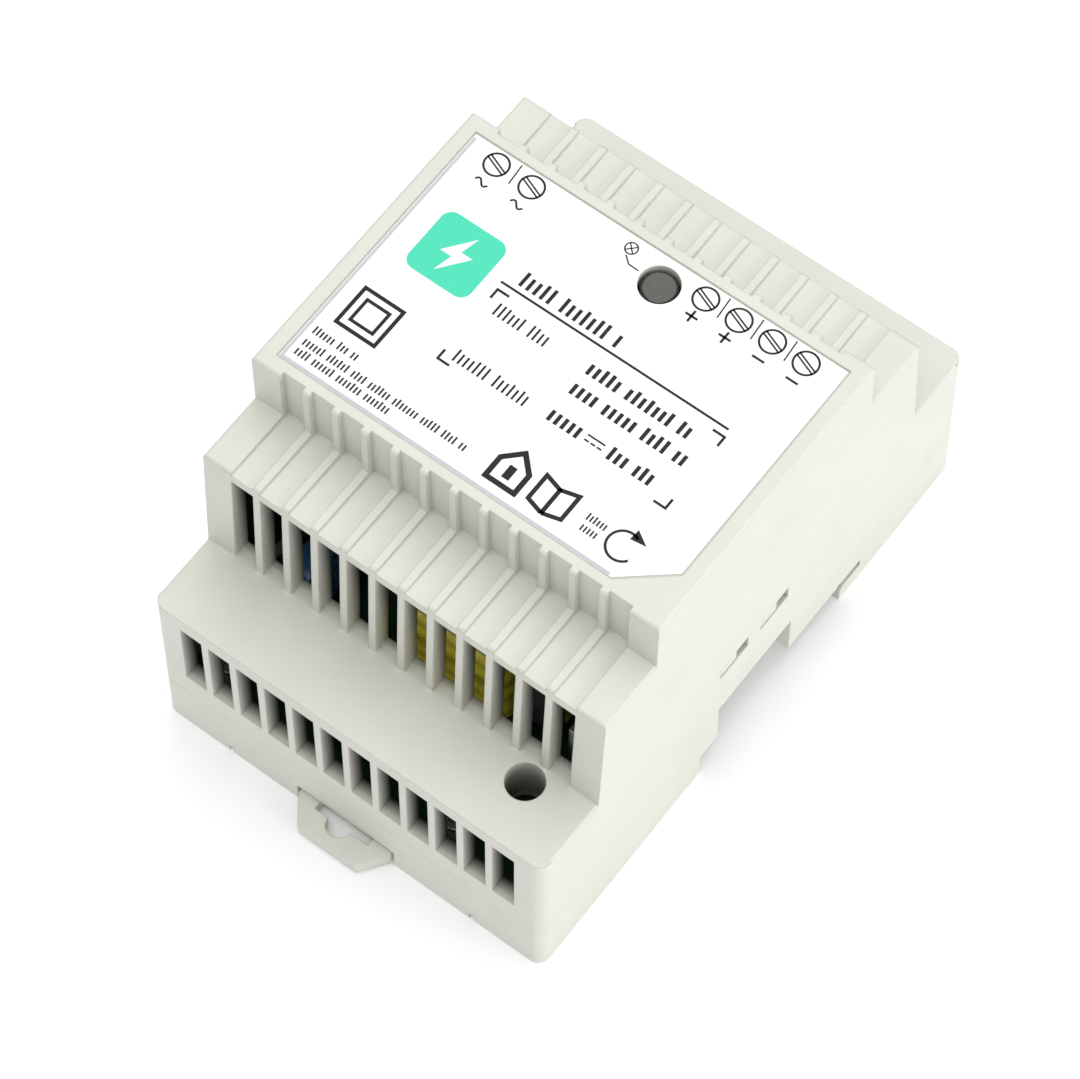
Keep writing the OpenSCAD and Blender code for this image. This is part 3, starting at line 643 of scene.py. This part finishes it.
def rating_marks(ink, rng):
    """The rating block: a heading, a rule, four corner brackets and five lines of placeholder text."""
    ink.words(-11.3, 4.2, 6.75, 2.3, rng, 0.22)
    ink.line((-13.1, 4.75), (21.6, 4.75), 0.34)
    left, right, top, bottom, arm = -12.9, 22.0, 3.6, -8.65, 1.8
    for x, y in ((left, top), (right, top), (left, bottom), (right, bottom)):
        inward = Vector((arm if x < 0 else -arm, 0))
        upright = Vector((0, -arm * 0.85 if y > 0 else arm * 0.85))
        ink.path([(x + inward.x, y), (x, y), (x, y + upright.y)], 0.36)
    ink.words(-11.4, -3.0, 1.3, 1.9, rng, 0.16)
    ink.words(-11.4, -0.4, -6.9, 1.9, rng, 0.16)
    for left, right, y in ((2.9, 18.6, 1.5), (2.9, 20.6, -1.9), (2.9, 7.6, -6.5), (12.0, 18.7, -6.5)):
        ink.words(left, right, y, 2.0, rng, 0.27)
    direct_current(ink, 9.7, -6.5)


def direct_current(ink, x, y):
    """The sign for direct current: a line over three dashes."""
    ink.line((x - 1.2, y + 0.4), (x + 1.2, y + 0.4), 0.26)
    for i in (-1, 0, 1):
        ink.line((x + i * 0.95 - 0.22, y - 0.4), (x + i * 0.95 + 0.22, y - 0.4), 0.26)


def double_square(ink):
    """The double-insulation sign."""
    x, y = -23.2, -9.05
    for half, width in ((3.0, 0.55), (1.75, 0.48)):
        corners = [(x - half, y - half), (x + half, y - half), (x + half, y + half), (x - half, y + half)]
        ink.path(corners, width, closed=True)


def house_sign(ink):
    """The indoor-use sign, heavy, beside an open book for the manual."""
    x, y = 3.9, -15.5
    walls = [(x - 2.2, y - 2.6), (x + 2.2, y - 2.6), (x + 2.2, y + 0.5), (x, y + 2.7), (x - 2.2, y + 0.5)]
    ink.path(walls, 0.75, closed=True)
    ink.slab([(x - 0.55, y - 1.6), (x + 0.55, y - 1.6), (x + 0.55, y + 0.4), (x - 0.55, y + 0.4)])
    x, y = 10.3, -15.8
    for side in (-1, 1):
        ink.path([(x, y + 1.5), (x + side * 2.5, y + 2.2), (x + side * 2.5, y - 1.7), (x, y - 2.4)], 0.6)
    ink.line((x, y + 1.4), (x, y - 2.2), 0.6)


def adjuster_mark(ink, rng):
    """A turning arrow by the adjuster, with two short lines of placeholder text."""
    ink.arc((20.9, -15.9), 2.1, 0.36, 62, 325, 30)
    ink.slab([(23.3, -14.25), (21.2, -12.95), (21.05, -14.6)])
    ink.words(15.1, 18.7, -15.1, 1.1, rng, 0.22)
    ink.words(15.3, 18.0, -16.7, 1.1, rng, 0.22)


def lamp_mark(ink):
    """A lamp sign with a leader to the indicator's hole."""
    x, y = -3.1, 18.35
    ink.arc((x, y), 0.85, 0.2)
    for angle in (45, 135):
        turn = math.radians(angle)
        tip = Vector((math.cos(turn), math.sin(turn))) * 0.8
        ink.line((x - tip.x, y - tip.y), (x + tip.x, y + tip.y), 0.18)
    ink.path([(x, 17.2), (-2.05, 16.3), (-0.5, 16.25)], 0.2)


def caution_lines(ink, rng):
    """Three lines of small placeholder text."""
    for y, right in ((-14.55, -20.6), (-16.6, -2.2), (-18.2, -12.7)):
        ink.words(-27.6, right, y, 1.2, rng, 0.22)


def badge(green, white):
    """A plain rounded-square badge with a bolt."""
    x, y, half, corner = -20.1, 4.5, 4.9, 1.6
    field = Print("front_label")
    outline = []
    for quarter in range(4):
        for step in range(9):
            angle = math.radians(90 * quarter + 90 * step / 8)
            cx = (half - corner) * (1 if quarter in (0, 3) else -1)
            cy = (half - corner) * (1 if quarter in (0, 1) else -1)
            outline.append((x + cx + corner * math.cos(angle), y + cy + corner * math.sin(angle)))
    field.slab(outline)
    field.piece("label_badge", green)
    bolt = Print("front_label")
    upper = [(x + 1.0, y + 3.4), (x - 2.1, y - 0.6), (x - 0.35, y - 0.6)]
    lower = [(x - 1.0, y - 3.4), (x + 2.1, y + 0.6), (x + 0.35, y + 0.6)]
    bolt.slab(upper + lower, lift=0.012)
    bolt.piece("label_bolt", white)


def print_label():
    """Everything printed on the front label, with a painted shade strip along its left and bottom edges.
    """
    rng = random.Random(7)
    ink = Print("front_label")
    terminal_marks(ink)
    rating_marks(ink, rng)
    double_square(ink)
    house_sign(ink)
    adjuster_mark(ink, rng)
    lamp_mark(ink)
    caution_lines(ink, rng)
    ink.piece("label_print", printing_ink("black_ink", INK))
    # Painted shade: a grey strip along the label's left and bottom edges stands in for the shade at those
    # edges.
    shade_strip = Print("front_label")
    shade_strip.path([(-28.6, 19.6), (-28.6, -19.85), (21.9, -19.85)], 0.42)
    shade_strip.piece("label_edge_painted_shade", printing_ink("painted_edge_shade", (0.52, 0.54, 0.57)))
    badge(printing_ink("green_ink", BADGE_GREEN), printing_ink("white_ink", (0.9, 0.92, 0.9)))


# ---------------------------------------------------------------- scene

def make_camera():
    """Long lens from above the foot end and the right-hand side, at the photograph's viewing angle."""
    data = bpy.data.cameras.new("camera")
    data.lens = 149.6
    data.sensor_width = 36
    data.clip_start = 0.05
    data.clip_end = 20
    camera = bpy.data.objects.new("camera", data)
    bpy.context.scene.collection.objects.link(camera)
    forward = Vector((-0.27998, 0.36041, -0.88978)).normalized()
    right = Vector((0.79791, 0.60274, -0.00692)).normalized()
    right = (right - forward * right.dot(forward)).normalized()
    up = right.cross(forward)
    turn = Matrix((right, up, -forward)).transposed().to_4x4()
    camera.matrix_world = Matrix.Translation(Vector((164.3, -222.7, 538.0)) * MM) @ turn
    bpy.context.scene.camera = camera


def area_light(name, place, target, size, power):
    """A rectangular white light at a place, turned to its target."""
    data = bpy.data.lights.new(name, "AREA")
    data.shape = "RECTANGLE"
    data.size, data.size_y = size
    data.energy = power
    light = bpy.data.objects.new(name, data)
    bpy.context.scene.collection.objects.link(light)
    light.location = place
    light.rotation_euler = (Vector(target) - Vector(place)).to_track_quat("-Z", "Y").to_euler()


def make_studio(low):
    """A glowing white sheet to stand on, a white surround, and large soft lights."""
    bpy.ops.mesh.primitive_plane_add(size=12, location=(0, 0, low.z - 0.02 * MM))
    floor = bpy.context.object
    floor.name = "floor"
    floor.data.materials.append(floor_material())
    floor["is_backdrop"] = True
    world = bpy.data.worlds.new("surround")
    world.use_nodes = True
    background = world.node_tree.nodes["Background"]
    background.inputs["Color"].default_value = (0.98, 0.99, 1.0, 1)
    background.inputs["Strength"].default_value = 0.6
    bpy.context.scene.world = world
    area_light("top", (-0.1, 0.45, 1.2), (0, 0, 0), (0.9, 0.9), 5.5)
    area_light("front", (0.0, -0.33, 1.3), (0, 0, 0), (0.9, 0.6), 5)
    area_light("right", (1.2, 0.1, 0.35), (0, 0, 0.02), (0.8, 0.6), 6)
    bpy.context.scene.view_settings.view_transform = "Standard"


def main(frame):
    """Dresses the loaded CAD part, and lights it."""
    cad_low, cad_high = (Vector(c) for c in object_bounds())
    make_camera()
    make_studio(cad_low)
    materials = make_materials()
    finish_cad(frame, materials)
    make_foot_spring(materials)
    print_label()


with open("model.json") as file:
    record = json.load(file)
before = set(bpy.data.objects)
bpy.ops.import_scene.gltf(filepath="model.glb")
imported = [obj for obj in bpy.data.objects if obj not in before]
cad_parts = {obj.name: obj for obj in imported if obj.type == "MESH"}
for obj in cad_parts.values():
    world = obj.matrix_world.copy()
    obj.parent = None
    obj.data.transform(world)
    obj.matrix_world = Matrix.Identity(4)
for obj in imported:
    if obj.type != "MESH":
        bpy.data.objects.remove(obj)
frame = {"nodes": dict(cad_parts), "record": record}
main(frame)
